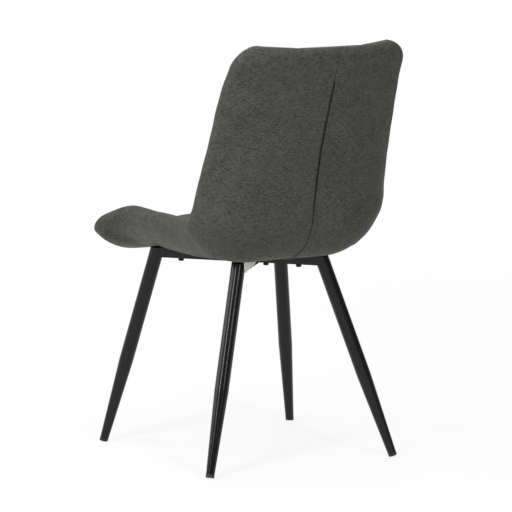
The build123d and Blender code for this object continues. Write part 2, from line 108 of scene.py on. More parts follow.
# Foot plugs
# Short black polyethylene plugs pressed into the open ends of the legs, flattened where they stand.
# Moulded in a spark-eroded tool, so they are duller than the legs, with a fine grain and scuffs low down.
grain_size = 0.0009
scuff_size = 0.008
polyethylene = new_finish("moulded_black_polyethylene")
coords = add_node(polyethylene, "ShaderNodeTexCoord").outputs["Object"]
grain = add_node(polyethylene, "ShaderNodeTexNoise", {"Scale": 1 / grain_size, "Detail": 3.0},
                 {"Vector": coords})
scuff = add_node(polyethylene, "ShaderNodeTexNoise", {"Scale": 1 / scuff_size, "Detail": 5.0},
                 {"Vector": coords})
tone = add_node(polyethylene, "ShaderNodeValToRGB", None, {"Fac": scuff.outputs["Fac"]})
tone.color_ramp.elements[0].position = 0.45
tone.color_ramp.elements[0].color = linear("#181817")
tone.color_ramp.elements[1].color = linear("#2b2b29")
pebble = add_node(polyethylene, "ShaderNodeBump", {"Strength": 0.2, "Distance": 0.0002},
                  {"Height": grain.outputs["Fac"]})
skin = add_node(polyethylene, "ShaderNodeBsdfPrincipled", {"IOR": 1.5, "Roughness": 0.55},
                {"Base Color": tone.outputs["Color"], "Normal": pebble.outputs["Normal"]})
add_node(polyethylene, "ShaderNodeOutputMaterial", None, {"Surface": skin.outputs["BSDF"]})
dress(polyethylene, "foot_plug_front_left", "foot_plug_front_right", "foot_plug_rear_left",
      "foot_plug_rear_right")


# Plywood shell
# The moulded bucket that carries the padding: thin wood plies glued in a press, left raw under the cover.
# Peeled veneer shows a pale, stretched grain with a few darker pores.
veneer_width = 0.006
veneer_length = 0.12
plywood = new_finish("moulded_raw_plywood")
coords = add_node(plywood, "ShaderNodeTexCoord").outputs["Object"]
veneer = add_node(plywood, "ShaderNodeMapping",
                  {"Scale": (1 / veneer_width, 1 / veneer_length, 1 / veneer_length)}, {"Vector": coords})
figure = add_node(plywood, "ShaderNodeTexNoise", {"Scale": 1.0, "Detail": 5.0},
                  {"Vector": veneer.outputs["Vector"]})
tone = add_node(plywood, "ShaderNodeValToRGB", None, {"Fac": figure.outputs["Fac"]})
tone.color_ramp.elements[0].position = 0.3
tone.color_ramp.elements[0].color = linear("#b08a5e")
tone.color_ramp.elements[1].position = 0.7
tone.color_ramp.elements[1].color = linear("#d3b486")
skin = add_node(plywood, "ShaderNodeBsdfPrincipled", {"IOR": 1.5, "Roughness": 0.7},
                {"Base Color": tone.outputs["Color"]})
add_node(plywood, "ShaderNodeOutputMaterial", None, {"Surface": skin.outputs["BSDF"]})
dress(plywood, "plywood_shell")


# Tee nuts and staples
# Pressed and drawn steel with bright zinc plate, let into the plywood and shot through the dust cover.
# Zinc gives a pale, slightly bluish metal with a cloudy gloss.
cloud_size = 0.002
zinc = new_finish("zinc_plated_steel")
coords = add_node(zinc, "ShaderNodeTexCoord").outputs["Object"]
cloud = add_node(zinc, "ShaderNodeTexNoise", {"Scale": 1 / cloud_size, "Detail": 3.0}, {"Vector": coords})
gloss = add_node(zinc, "ShaderNodeMapRange", {"To Min": 0.25, "To Max": 0.5}, {"Value": cloud.outputs["Fac"]})
tone = add_node(zinc, "ShaderNodeValToRGB", None, {"Fac": cloud.outputs["Fac"]})
tone.color_ramp.elements[0].color = linear("#a9adb0")
tone.color_ramp.elements[1].color = linear("#c6cacc")
skin = add_node(zinc, "ShaderNodeBsdfPrincipled", {"Metallic": 1.0},
                {"Base Color": tone.outputs["Color"], "Roughness": gloss.outputs["Result"]})
add_node(zinc, "ShaderNodeOutputMaterial", None, {"Surface": skin.outputs["BSDF"]})
dress(zinc, "tee_nuts", "dust_cover_staples")


# Seat cushion
# Foam wrapped over the front of the plywood and covered in the sitting-side fabric, sewn down in two channels
# that part a middle lane from two side lanes. It rolls over the front and the side edges.
seat_underside = 0.429
front_drop_radius = 0.346
front_drop_angle = math.radians(28.0)
seat_flat_length = 0.262
bend_radius = 0.117
recline = math.radians(10.4)
back_length = 0.3735
back_bow = 0.007
dust_cover_margin = 0.010

bend_turn = math.pi / 2 - recline
bend_length = bend_radius * bend_turn
flat_start = front_drop_radius * front_drop_angle
flat_end = flat_start + seat_flat_length
bend_end = flat_end + bend_length
shell_length = bend_end + back_length
flat_front_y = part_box("dust_cover")[0].y - dust_cover_margin

half_widths = np.array([0.251, 0.226, 0.2315, 0.252, 0.234, 0.224, 0.213])
side_rises = np.array([0.047, 0.0635, 0.064, 0.084, 0.062, 0.0495, 0.0295])
flat_halves = np.array([0.088, 0.122, 0.124, 0.076, 0.039, 0.029, 0.026])
flat_most = 0.65
seat_share, waist_share, shoulder_share = 0.45, 0.42, 0.76
hip_above_bend = 0.020
knot_places = np.array([0.0, flat_start, flat_start + seat_share * seat_flat_length,
                        (flat_end + bend_end) / 2 + hip_above_bend, bend_end + waist_share * back_length,
                        bend_end + shoulder_share * back_length, shell_length])
front_corner_radius, top_corner_radius = 0.055, 0.050
fan_reach, lean_reach = 0.075, 0.060
front_lean, edge_overhang = 0.85, 0.9
edge_radius = 0.017
seat_crown, seat_channel = 0.050, 0.045
back_crown, back_channel = 0.040, 0.033
channel_half_spacing, channel_most = 0.085, 0.5
side_lane_crown = 0.0025
edge_seam_turn = math.radians(150.0)
cover_seam = flat_end + bend_radius * math.radians(42.0)


def smooth_step(u):
    """0 below 0 and 1 above 1, with level ends."""
    u = np.clip(u, 0, 1)
    return u * u * (3 - 2 * u)


def through(values, s):
    """Smooth curve through a value at each knot, in cubic pieces with harmonic-mean slopes."""
    step = np.diff(knot_places)
    chord = np.diff(values) / step
    product = chord[:-1] * chord[1:]
    total = np.where(product > 0, chord[:-1] + chord[1:], 1.0)
    slope = np.concatenate([chord[:1], np.where(product > 0, 2 * product / total, 0.0), chord[-1:]])
    i = np.clip(np.searchsorted(knot_places, s) - 1, 0, len(step) - 1)
    u = (s - knot_places[i]) / step[i]
    start = (1 + 2 * u) * (1 - u) ** 2 * values[i] + u * (1 - u) ** 2 * step[i] * slope[i]
    return start + u * u * (3 - 2 * u) * values[i + 1] + u * u * (u - 1) * step[i] * slope[i + 1]


def corner_cut(run, radius):
    """How far a rounded corner has drawn the side in, a distance run from the end."""
    left = np.clip(radius - run, 0, radius)
    return radius - np.sqrt(radius * radius - left * left)


class Section:
    """Cross-sections of the bucket at distances s from the front edge, along the middle of its outer face: a
    flat middle, a circular side wall, and a rolled edge that closes in a half circle at each end."""

    def __init__(self, s):
        self.s = s
        drop = np.clip(flat_start - s, 0, None) / front_drop_radius
        turn = np.clip((s - flat_end) / bend_radius, 0, bend_turn)
        run = np.clip(s - bend_end, 0, None)
        bow = back_bow * 4 * (run / back_length) * (1 - run / back_length)
        self.y = flat_front_y + np.clip(s - flat_start, 0, seat_flat_length)
        self.y = self.y - front_drop_radius * np.sin(drop) + bend_radius * np.sin(turn)
        self.y = self.y + run * math.sin(recline) - bow * math.cos(recline)
        self.z = seat_underside - front_drop_radius * (1 - np.cos(drop)) + bend_radius * (1 - np.cos(turn))
        self.z = self.z + run * math.cos(recline) + bow * math.sin(recline)
        fan = bend_length / 2 + fan_reach
        self.angle = bend_turn * smooth_step((s - (flat_end + bend_end) / 2 + fan) / (2 * fan))
        front = smooth_step(1 - s / (flat_start + lean_reach))
        self.angle = self.angle - front_drop_angle * front_lean * front
        left = np.clip(1 - np.minimum(s, shell_length - s) / edge_radius, 0, 1)
        self.round = np.sqrt(1 - left * left)
        half = through(half_widths, s) - corner_cut(s, front_corner_radius)
        half = half - corner_cut(shell_length - s, top_corner_radius)
        rise = through(side_rises, s)
        reach = half - edge_overhang * edge_radius * self.round
        self.flat = np.minimum(through(flat_halves, s), flat_most * reach)
        side = reach - self.flat
        self.radius = (side * side + rise * rise) / (2 * rise)
        self.sweep = np.arctan2(side, self.radius - rise)
        self.outer = edge_radius * (1 - self.round)
        self.back_share = smooth_step((s - flat_end) / bend_length)

    def place(self, x, h):
        """Points x to the side and h inwards from the outer middle line, as an array of positions."""
        y = self.y - h * np.sin(self.angle)
        z = self.z + h * np.cos(self.angle)
        return np.stack(np.broadcast_arrays(x, y, z), -1)

    def rear_height(self, x):
        """Height of the outer face at a distance x from the middle."""
        wall = self.radius - self.outer
        beyond = np.clip(x - self.flat, 0, None)
        return self.radius - np.sqrt(np.clip(wall * wall - beyond * beyond, 0, None))

    def edge(self, turn):
        """Point of the rolled edge's circle, turned from the outer face towards the sitting side."""
        inner = self.radius - edge_radius
        roll = edge_radius * self.round
        x = self.flat + inner * np.sin(self.sweep) + roll * np.sin(turn + self.sweep)
        h = self.radius - inner * np.cos(self.sweep) - roll * np.cos(turn + self.sweep)
        return x, h


def sitting_face(s, q):
    """The sitting side at s, across by q: from 0 in the middle to 1 at the sewn channel, 2 at the rolled edge
    and 3 at the edge seam, negative on the right. The lanes are parabolas, the edge a circle."""
    st = Section(s)
    a = np.abs(q)
    crown = seat_crown + (back_crown - seat_crown) * st.back_share
    channel = seat_channel + (back_channel - seat_channel) * st.back_share
    ex, eh = st.edge(math.pi)
    cx = np.minimum(channel_half_spacing, channel_most * ex)
    ch = st.rear_height(cx) + channel * st.round
    middle_h = st.outer + crown * st.round
    t = np.clip(a, 0, 1)
    crown_x, crown_h = cx * t, middle_h + (ch - middle_h) * t * t
    t = np.clip(a - 1, 0, 1)
    width = np.hypot(ex - cx, eh - ch)
    mx = (ex + cx) / 2 - side_lane_crown * (eh - ch) / width
    mh = (eh + ch) / 2 + side_lane_crown * (ex - cx) / width
    bx, bh = 2 * mx - (ex + cx) / 2, 2 * mh - (eh + ch) / 2
    lane_x = (1 - t) ** 2 * cx + 2 * t * (1 - t) * bx + t * t * ex
    lane_h = (1 - t) ** 2 * ch + 2 * t * (1 - t) * bh + t * t * eh
    floor = st.rear_height(lane_x)
    even = (1 - t) * (ch - st.rear_height(cx)) + t * (eh - st.rear_height(ex))
    lane_h = floor + even + (lane_h - floor - even) * st.round
    edge_x, edge_h = st.edge(math.pi - np.clip(a - 2, 0, 1) * (math.pi - edge_seam_turn))
    x = np.where(a <= 1, crown_x, np.where(a <= 2, lane_x, edge_x))
    h = np.where(a <= 1, crown_h, np.where(a <= 2, lane_h, edge_h))
    return st.place(np.sign(q) * x, h)


def gathered(count, tightness):
    """Shares from 0 to 1 that crowd towards both ends, by taking a sine from an even spread."""
    u = np.linspace(0, 1, count)
    return u - tightness * np.sin(2 * math.pi * u) / (2 * math.pi)


def normals_of(points, outward):
    """Unit normals of a grid of points, from its two tangents, turned to agree with a rough direction."""
    across = np.gradient(points, axis=1)
    along = np.gradient(points, axis=0)
    normal = np.cross(across, along)
    normal /= np.linalg.norm(normal, axis=-1, keepdims=True) + 1e-12
    facing = np.sign(np.sum(normal * outward, axis=-1, keepdims=True))
    return normal * np.where(facing == 0, 1, facing)


def rolled_in(distance, radius):
    """Depth of a cloth edge that turns down in a quarter circle, at a distance from the seam."""
    left = np.clip(radius - distance, 0, radius)
    return radius - np.sqrt(radius * radius - left * left)


same_place = 1e-6


def grid_quads(index):
    """Quads between the neighbouring points of a grid of point numbers."""
    corners = [index[:-1, :-1], index[:-1, 1:], index[1:, 1:], index[1:, :-1]]
    return np.stack(corners, -1).reshape(-1, 4)


def lay_grid(name, points, flip, cloth_map):
    """Mesh of quads through a grid of points, with the cloth's own lengths, in metres, as its UV map. Points
    that fall together, as at the ends of a closed edge, are merged."""
    rows, columns = points.shape[:2]
    quads = grid_quads(np.arange(rows * columns).reshape(rows, columns))
    if flip:
        quads = quads[:, ::-1]
    mesh = bpy.data.meshes.new(name)
    mesh.from_pydata(points.reshape(-1, 3), [], quads)
    layer = mesh.uv_layers.new(name="cloth")
    layer.data.foreach_set("uv", cloth_map.reshape(-1, 2)[quads.ravel()].astype(np.float32).ravel())
    mesh.polygons.foreach_set("use_smooth", np.ones(len(quads), bool))
    work = bmesh.new()
    work.from_mesh(mesh)
    bmesh.ops.remove_doubles(work, verts=work.verts, dist=same_place)
    work.to_mesh(mesh)
    work.free()
    piece = bpy.data.objects.new(name, mesh)
    bpy.context.scene.collection.objects.link(piece)
    return piece


def lengths_along(points, axis):
    """Lengths along the rows or the columns of a grid, from their first points."""
    steps = np.linalg.norm(np.diff(points, axis=axis), axis=-1)
    return np.insert(np.cumsum(steps, axis=axis), 0, 0.0, axis=axis)


swell_step = 0.0065
swell_cap = 0.007
swell_frames = 20
swell_pressure = 4.0
bag_depth = 0.02
bag_columns = (12, 19, 2)
end_reach, end_inset = 2 * edge_radius, 0.3 * edge_radius


def swelling(low, high):
    """How far the padding between two places swells between its seams: the face and a copy a little below it
    are closed into a bag, held at its edges and channels and blown up as cloth. Each move is capped. The
    rounded ends of the shell are drawn in a little, so that the bag doesn't close up there."""
    rows = int((high - low) / swell_step) + 1
    s = np.linspace(low, high, rows)[:, None]
    lanes = [lane + np.linspace(0, 1, n, endpoint=False) for lane, n in enumerate(bag_columns)]
    half = np.concatenate(lanes + [[3]])
    q = np.concatenate([-half[:0:-1], half])[None, :]
    front_inset = end_inset * np.clip(1 - s / end_reach, 0, None)
    top_inset = end_inset * np.clip(1 - (shell_length - s) / end_reach, 0, None)
    face = sitting_face(np.clip(s + front_inset - top_inset, low, high), q)
    st = Section(s)
    inwards = st.place(0.0, 1.0) - st.place(0.0, 0.0)
    under = face - bag_depth * inwards
    count = face.shape[0] * face.shape[1]
    index = np.arange(count).reshape(face.shape[:2])
    quads = grid_quads(index)
    border = np.concatenate([index[0, :-1], index[:-1, -1], index[-1, :0:-1], index[:0:-1, 0]])
    onward = np.roll(border, -1)
    sides = np.stack([onward, border, border + count, onward + count], -1)
    faces = np.concatenate([quads, quads[:, ::-1] + count, sides])
    mesh = bpy.data.meshes.new("swelling")
    mesh.from_pydata(np.concatenate([face, under]).reshape(-1, 3), [], faces)
    bag = bpy.data.objects.new("swelling", mesh)
    bpy.context.scene.collection.objects.link(bag)
    held = (np.abs(q) == 1) | (np.abs(q) >= 2)
    held = np.broadcast_to(held, face.shape[:2]).copy()
    held[[0, 1, -2, -1]] = True
    group = bag.vertex_groups.new(name="sewn")
    group.add(np.concatenate([np.flatnonzero(held), np.arange(count, 2 * count)]).tolist(), 1.0, "REPLACE")
    cloth = bag.modifiers.new("cloth", "CLOTH")
    cloth.settings.quality = 5
    cloth.settings.mass = 0.3
    cloth.settings.tension_stiffness = 12
    cloth.settings.compression_stiffness = 12
    cloth.settings.shear_stiffness = 4
    cloth.settings.bending_stiffness = 0.3
    cloth.settings.shrink_min = -0.02
    cloth.settings.use_pressure = True
    cloth.settings.uniform_pressure_force = swell_pressure
    cloth.settings.vertex_group_mass = "sewn"
    cloth.settings.effector_weights.gravity = 0
    cloth.collision_settings.use_collision = False
    scene = bpy.context.scene
    for step in range(1, swell_frames + 1):
        scene.frame_set(step)
    blown = bag.evaluated_get(bpy.context.evaluated_depsgraph_get())
    moved = np.zeros(len(mesh.vertices) * 3, np.float32)
    blown.data.vertices.foreach_get("co", moved)
    moved = moved.reshape(-1, 3)[:count].reshape(face.shape) - face
    scene.frame_set(1)
    bpy.data.objects.remove(bag)
    length = np.linalg.norm(moved, axis=-1, keepdims=True)
    moved *= np.minimum(1.0, swell_cap / np.maximum(length, 1e-9))
    return s[:, 0], q[0], moved


def sampled(field, places, shares, s, q):
    """A field on a grid of places and shares, read between its points, linearly both ways."""
    i = np.clip(np.searchsorted(places, s) - 1, 0, len(places) - 2)
    j = np.clip(np.searchsorted(shares, q) - 1, 0, len(shares) - 2)
    u = ((s - places[i]) / (places[i + 1] - places[i]))[:, None, None]
    v = ((q - shares[j]) / (shares[j + 1] - shares[j]))[None, :, None]
    near = (1 - v) * field[np.ix_(i, j)] + v * field[np.ix_(i, j + 1)]
    far = (1 - v) * field[np.ix_(i + 1, j)] + v * field[np.ix_(i + 1, j + 1)]
    return (1 - u) * near + u * far


channel_pinch = 0.0032
channel_width = 0.0055
edge_seam_roll = 0.0018
cross_seam_roll = 0.0045
pad_thickness = 0.008
cushion_columns = (31, 41, 8)
cushion_rows = 150
cushion_column_crowding, cushion_row_crowding = 0.75, 0.95


def cushion(name, low, high, cross_seam_end):
    """Closed pad between two places: the sitting face, swollen, drawn down at its channels and rolled in at
    its seams, then given its thickness inwards."""
    s = low + (high - low) * gathered(cushion_rows, cushion_row_crowding)
    lanes = [lane + gathered(n, cushion_column_crowding)[:-1] for lane, n in enumerate(cushion_columns)]
    half = np.concatenate(lanes + [[3.0]])
    q = np.concatenate([-half[:0:-1], half])
    points = sitting_face(s[:, None], q[None, :])
    st = Section(s[:, None])
    inwards = st.place(0.0, 1.0) - st.place(0.0, 0.0)
    places, shares, field = swelling(low, high)
    points = points + sampled(field, places, shares, s, q)
    middle = len(q) // 2
    across = lengths_along(points, 1)
    across = across - across[:, [middle]]
    along = lengths_along(points[:, [middle]], 0)
    normal = normals_of(points, inwards)
    to_channel = np.minimum(np.abs(across - across[:, [np.argmin(np.abs(q - 1))]]),
                            np.abs(across - across[:, [np.argmin(np.abs(q + 1))]]))
    to_edge = np.minimum(across - across[:, :1], across[:, -1:] - across)
    to_cross_seam = np.abs(s - cross_seam_end)[:, None]
    depth = channel_pinch * np.exp(-to_channel / channel_width)
    depth = np.maximum(depth, rolled_in(to_edge, edge_seam_roll)) * st.round
    depth = np.maximum(depth, rolled_in(to_cross_seam, cross_seam_roll))
    points = points - normal * depth[..., None]
    cloth_map = np.stack(np.broadcast_arrays(across, along), -1)
    piece = lay_grid(name, points, False, cloth_map)
    thickness = piece.modifiers.new("padding", "SOLIDIFY")
    thickness.thickness = pad_thickness
    thickness.offset = -1
    return piece


seat_cushion = cushion("seat_cushion", 0.0, cover_seam, cover_seam)
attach(seat_cushion, "root")
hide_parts("seat_foam", "seat_cover")

# The cover is a matt woven polyester with a brushed face: thick and thin yarns of several charcoal greys, so
# short slubs run across it, in softly cloudy tones, and the fibre ends catch light along every outline.
# The yarns are drawn at twice their real spacing, because finer ones don't show.
weft_pitch, warp_pitch = 0.0015, 0.0016
slub_length, knot_length = 0.008, 0.004
row_spread = 7.31
cloud_size, broad_cloud_size = 0.022, 0.085
weft_share, warp_share, cloud_share, broad_share = 0.60, 0.22, 0.10, 0.08
charcoal = new_finish("charcoal_woven_polyester")
lengths = add_node(charcoal, "ShaderNodeUVMap", {"uv_map": "cloth"}).outputs["UV"]
yarns = {}
for name, along, across, scale in (("weft", "X", "Y", (1 / slub_length, 1 / weft_pitch, 1)),
                                   ("warp", "Y", "X", (1 / warp_pitch, 1 / knot_length, 1))):
    counted = add_node(charcoal, "ShaderNodeMapping", {"Scale": scale}, {"Vector": lengths})
    parts = add_node(charcoal, "ShaderNodeSeparateXYZ", None, {"Vector": counted.outputs["Vector"]})
    row = add_node(charcoal, "ShaderNodeMath", {"operation": "FLOOR"}, {0: parts.outputs[across]})
    apart = add_node(charcoal, "ShaderNodeMath", {"operation": "MULTIPLY", 1: row_spread},
                     {0: row.outputs["Value"]})
    thread = add_node(charcoal, "ShaderNodeCombineXYZ", None,
                      {"X": parts.outputs[along], "Y": apart.outputs["Value"]})
    yarns[name] = add_node(charcoal, "ShaderNodeTexNoise", {"Scale": 1.0, "Detail": 3.0, "Roughness": 0.65},
                           {"Vector": thread.outputs["Vector"]})
cloud = add_node(charcoal, "ShaderNodeTexNoise", {"Scale": 1 / cloud_size, "Detail": 3.0},
                 {"Vector": lengths})
broad = add_node(charcoal, "ShaderNodeTexNoise", {"Scale": 1 / broad_cloud_size, "Detail": 2.0},
                 {"Vector": lengths})
weft_part = add_node(charcoal, "ShaderNodeMath", {"operation": "MULTIPLY", 1: weft_share},
                     {0: yarns["weft"].outputs["Fac"]})
warp_part = add_node(charcoal, "ShaderNodeMath", {"operation": "MULTIPLY_ADD", 1: warp_share},
                     {0: yarns["warp"].outputs["Fac"], 2: weft_part.outputs["Value"]})
cloud_part = add_node(charcoal, "ShaderNodeMath", {"operation": "MULTIPLY_ADD", 1: cloud_share},
                      {0: cloud.outputs["Fac"], 2: warp_part.outputs["Value"]})
tone_share = add_node(charcoal, "ShaderNodeMath", {"operation": "MULTIPLY_ADD", 1: broad_share},
                      {0: broad.outputs["Fac"], 2: cloud_part.outputs["Value"]})
tone = add_node(charcoal, "ShaderNodeValToRGB", None, {"Fac": tone_share.outputs["Value"]})
tone.color_ramp.elements[0].position = 0.36
tone.color_ramp.elements[0].color = linear("#272726")
tone.color_ramp.elements[1].position = 0.66
tone.color_ramp.elements[1].color = linear("#5f5f5b")
relief = add_node(charcoal, "ShaderNodeBump", {"Strength": 0.25, "Distance": 0.0005},
                  {"Height": warp_part.outputs["Value"]})
skin = add_node(charcoal, "ShaderNodeBsdfPrincipled",
                {"Roughness": 0.95, "Specular IOR Level": 0.2, "Sheen Weight": 0.3, "Sheen Roughness": 0.3,
                 "Sheen Tint": linear("#c4c4bd")},
                {"Base Color": tone.outputs["Color"], "Normal": relief.outputs["Normal"]})
add_node(charcoal, "ShaderNodeOutputMaterial", None, {"Surface": skin.outputs["BSDF"]})
seat_cushion.data.materials.append(charcoal)


# Back cushion
# The same foam and fabric carried on up the back, thinner than the seat, with the two channels running on.
# It is sewn to the seat cushion across the bend, where both rolls meet in a deep crease.
back_cushion = cushion("back_cushion", cover_seam, shell_length, cover_seam)
back_cushion.data.materials.append(charcoal)
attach(back_cushion, "root")
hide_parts("back_foam", "back_cover")


# Rear covers
# Two panels of the same cloth, pulled round the outside of the bucket over a thin padding and sewn together
# down the middle, where the seam allowance stands proud in a ridge. The seam drifts to the right at the top.
# Under the seat the sides end in a fold, which climbs the wing in front, where the foam rolls on below it.
cloth_thickness = 0.0016
rear_rows = 240
inner_columns, outer_columns = 74, 66
rear_column_crowding, rear_row_crowding = 0.88, 0.97
sideways_run = 0.25
seam_drift, seam_drift_reach = 0.0135, 0.225
slit_depth, slit_depth_low = 0.0060, 0.0015
slit_floor, slit_floor_low = 0.0017, 0.0004
slit_ramp = 0.16
left_lip, right_lip = 0.0008, 0.0024
slit_top_run, slit_fade = 0.067, 0.010
slit_least = 0.35
slit_slant = 0.7
ridge_height = 0.0020
ridge_width, ridge_width_low = 0.0045, 0.0095
ridge_softness = 0.0016
ridge_front_fade = 0.06
fold_share, fold_share_front = 0.73, 0.93
fold_turn_start, fold_turn_reach = 0.035, 0.075
fold_lip, fold_lip_width = 0.0050, 0.014
cloth_least = -0.0012
fold_groove, fold_groove_width, fold_crease = 0.0080, 0.008, 0.0012
fold_front, fold_front_fade = 0.020, 0.040
fold_rear_fade = 0.070
front_roll = 0.0052
front_roll_start, front_roll_rise = -0.015, 0.065
front_roll_end, front_roll_fall, front_roll_side = 0.176, 0.055, 0.030
wave_height = 0.00045
wave_lengths = np.array([0.055, 0.075, 0.11, 0.16])
wave_seed = 7


def panel_reach(st):
    """Lengths along the outside, from the middle line to the fold and on to the edge seam. The fold lies at a
    share of the side's reach that grows towards the front."""
    wall = st.radius - st.outer
    reach = st.flat + wall * np.sin(st.sweep)
    inner = smooth_step((st.s - fold_turn_start) / fold_turn_reach)
    share = fold_share_front + (fold_share - fold_share_front) * inner
    beyond = np.clip(share * reach - st.flat, 0, None)
    fold = st.flat + wall * np.arcsin(np.clip(beyond / wall, 0, 1))
    return fold, st.flat + wall * st.sweep + edge_radius * st.round * edge_seam_turn


def rear_face(st, run):
    """Points of the outside, a length run from the middle line: along the flat, round the wall's circle, then
    round the rolled edge's."""
    wall = st.radius - st.outer
    roll = edge_radius * st.round
    wall_length = wall * st.sweep
    bend = np.clip(run - st.flat, 0, wall_length) / wall
    turn = np.clip(run - st.flat - wall_length, 0, None) / np.maximum(roll, 1e-9)
    edge_x, edge_h = st.edge(np.minimum(turn, edge_seam_turn))
    on_wall = run <= st.flat + wall_length
    x = np.where(on_wall, np.minimum(run, st.flat) + wall * np.sin(bend), edge_x)
    h = np.where(on_wall, st.radius - wall * np.cos(bend), edge_h)
    return x, h


def soft_waves(s, run):
    """Slight unevenness of the padding under the cloth: a sum of slow sines with seeded angles and phases."""
    draw = np.random.default_rng(wave_seed)
    angle = draw.uniform(0, math.pi, len(wave_lengths))
    phase = draw.uniform(0, math.tau, len(wave_lengths))
    along = s[..., None] * np.sin(angle) + run[..., None] * np.cos(angle)
    return np.sum(np.sin(math.tau * along / wave_lengths + phase), axis=-1) * wave_height / 2


def underside_relief(st, run, fold):
    """How far the cloth stands out under the seat: a lip that fades up the side from the fold, a groove
    inside the fold that fades towards the middle, both exponentials of the distance, and the foam's front
    roll. The cloth never sinks below its least height, because the plywood lies under it."""
    off = run - fold
    lip = fold_lip * np.where(off > 0, np.exp(-off / fold_lip_width), np.exp(off / fold_crease))
    inside = np.minimum(off, 0)
    groove = fold_groove * (1 - np.exp(inside / fold_crease)) * np.exp(inside / fold_groove_width)
    under_seat = smooth_step((st.s - fold_front) / fold_front_fade)
    under_seat = under_seat * (1 - smooth_step((st.s - flat_end) / fold_rear_fade))
    along = smooth_step((st.s - front_roll_start) / front_roll_rise)
    along = along * smooth_step((front_roll_end - st.s) / front_roll_fall)
    roll = front_roll * along * (1 - np.exp(inside / front_roll_side))
    return np.maximum((lip - groove) * under_seat + roll, cloth_least)


def rear_cover(name, side):
    """One panel: the outside face on one side, the centre seam rolled into a leaning slit, a ridge beside
    it on the right panel, and the edge seam rolled in at the far side. It is a sheet of the cloth's
    thickness. The slit is shallow at the top and under the seat."""
    s = (shell_length * gathered(rear_rows, rear_row_crowding))[:, None]
    inner = gathered(inner_columns, rear_column_crowding)[None, :]
    outer = gathered(outer_columns, rear_column_crowding)[None, 1:]
    from_top = shell_length - s
    seam = -side * seam_drift * np.clip(1 - from_top / seam_drift_reach, 0, None)
    st = Section(s)
    fold, far = panel_reach(st)
    run = np.concatenate([seam + (fold - seam) * inner, fold + (far - fold) * outer], axis=1)
    from_seam, to_edge = run - seam, far - run
    points = st.place(*rear_face(st, run))
    points[..., 0] *= side
    along = lengths_along(points[:, :1], 0)
    outwards = st.place(0.0, 0.0) - st.place(0.0, 1.0)
    roll_share = np.clip(run / sideways_run, 0, 1)[..., None]
    sideways = np.array([side, 0.0, 0.0])
    normal = normals_of(points, outwards * (1 - roll_share) + sideways * roll_share)
    slit = smooth_step((from_top - slit_top_run) / slit_fade)
    upper = smooth_step((s - bend_end + bend_length / 2) / slit_ramp)
    lip = left_lip if side > 0 else right_lip
    depth = slit_depth_low + (slit_depth - slit_depth_low) * upper
    depth = depth * (slit_least + (1 - slit_least) * slit)
    floor = (slit_floor_low + (slit_floor - slit_floor_low) * upper) * slit
    sunk = rolled_in(np.clip(from_seam - floor, 0, None), lip) / lip * depth
    lower = smooth_step((bend_end - s) / bend_length)
    width = ridge_width + (ridge_width_low - ridge_width) * lower
    ridge = ridge_height * slit * (1 - smooth_step((from_seam - width) / ridge_softness)) * (side < 0)
    ridge = ridge * smooth_step(s / ridge_front_fade)
    proud = ridge - sunk - rolled_in(to_edge, edge_seam_roll)
    proud = proud + soft_waves(np.broadcast_to(s, run.shape), side * run) + underside_relief(st, run, fold)
    points = points + normal * (proud * st.round)[..., None]
    points[..., 0] -= slit_slant * sunk * st.round
    cloth_map = np.stack(np.broadcast_arrays(side * run, along), -1)
    piece = lay_grid(name, points, side > 0, cloth_map)
    thickness = piece.modifiers.new("cloth", "SOLIDIFY")
    thickness.thickness = cloth_thickness
    thickness.offset = -1
    piece.data.materials.append(charcoal)
    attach(piece, "root")
    return piece


left_panel = rear_cover("rear_cover_left_panel", 1)
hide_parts("rear_cover_left", "rear_padding")
right_panel = rear_cover("rear_cover_right_panel", -1)
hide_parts("rear_cover_right")


# Dust cover
# A rounded rectangle of black spunbond cloth stapled over the underside of the seat, sagging a little between
# the rails. Spunbond is pressed from loose fibres with a fine pattern of dots.
dust_corner = 0.018
dust_rows, dust_columns = 90, 70
dust_crowding = 0.6
dust_thickness = 0.0006
dust_sag, sag_reach = 0.0035, 0.035
rail_width, rail_room = 0.025, 0.004
dust_low, dust_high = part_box("dust_cover")
front_low, front_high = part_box("cross_rail_front")
rear_low, rear_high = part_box("cross_rail_rear")


def dust_sheet():
    """A level grid inside the rounded rectangle, sunk by a smooth step of its least distance from the stapled
    border and from the rails, which cross on the middle line and lean alike to both sides."""
    half = (dust_high.x - dust_low.x) / 2
    y = (dust_low.y + (dust_high.y - dust_low.y) * gathered(dust_rows, dust_crowding))[:, None]
    to_end = np.minimum(y - dust_low.y, dust_high.y - y)
    side = half - corner_cut(to_end, dust_corner)
    x = side * (2 * gathered(dust_columns, dust_crowding) - 1)[None, :]
    longer = (front_high - front_low) - (rear_high - rear_low)
    lean = np.array([longer.x, longer.y]) / math.hypot(longer.x, longer.y)
    crossing = (front_high.y + rear_low.y) / 2
    to_rail = np.abs(np.abs(x) * lean[1] - np.abs(y - crossing) * lean[0]) - rail_width / 2 - rail_room
    clear = np.minimum(np.minimum(to_rail, to_end), side - np.abs(x))
    sunk = dust_sag * smooth_step(clear / sag_reach)
    return np.stack(np.broadcast_arrays(x, y, dust_high.z - sunk), -1)


dust_points = dust_sheet()
dust_piece = lay_grid("dust_cover_sheet", dust_points, True, dust_points[..., :2])
dust_solid = dust_piece.modifiers.new("cloth", "SOLIDIFY")
dust_solid.thickness = dust_thickness
dust_solid.offset = -1
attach(dust_piece, "root")
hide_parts("dust_cover")

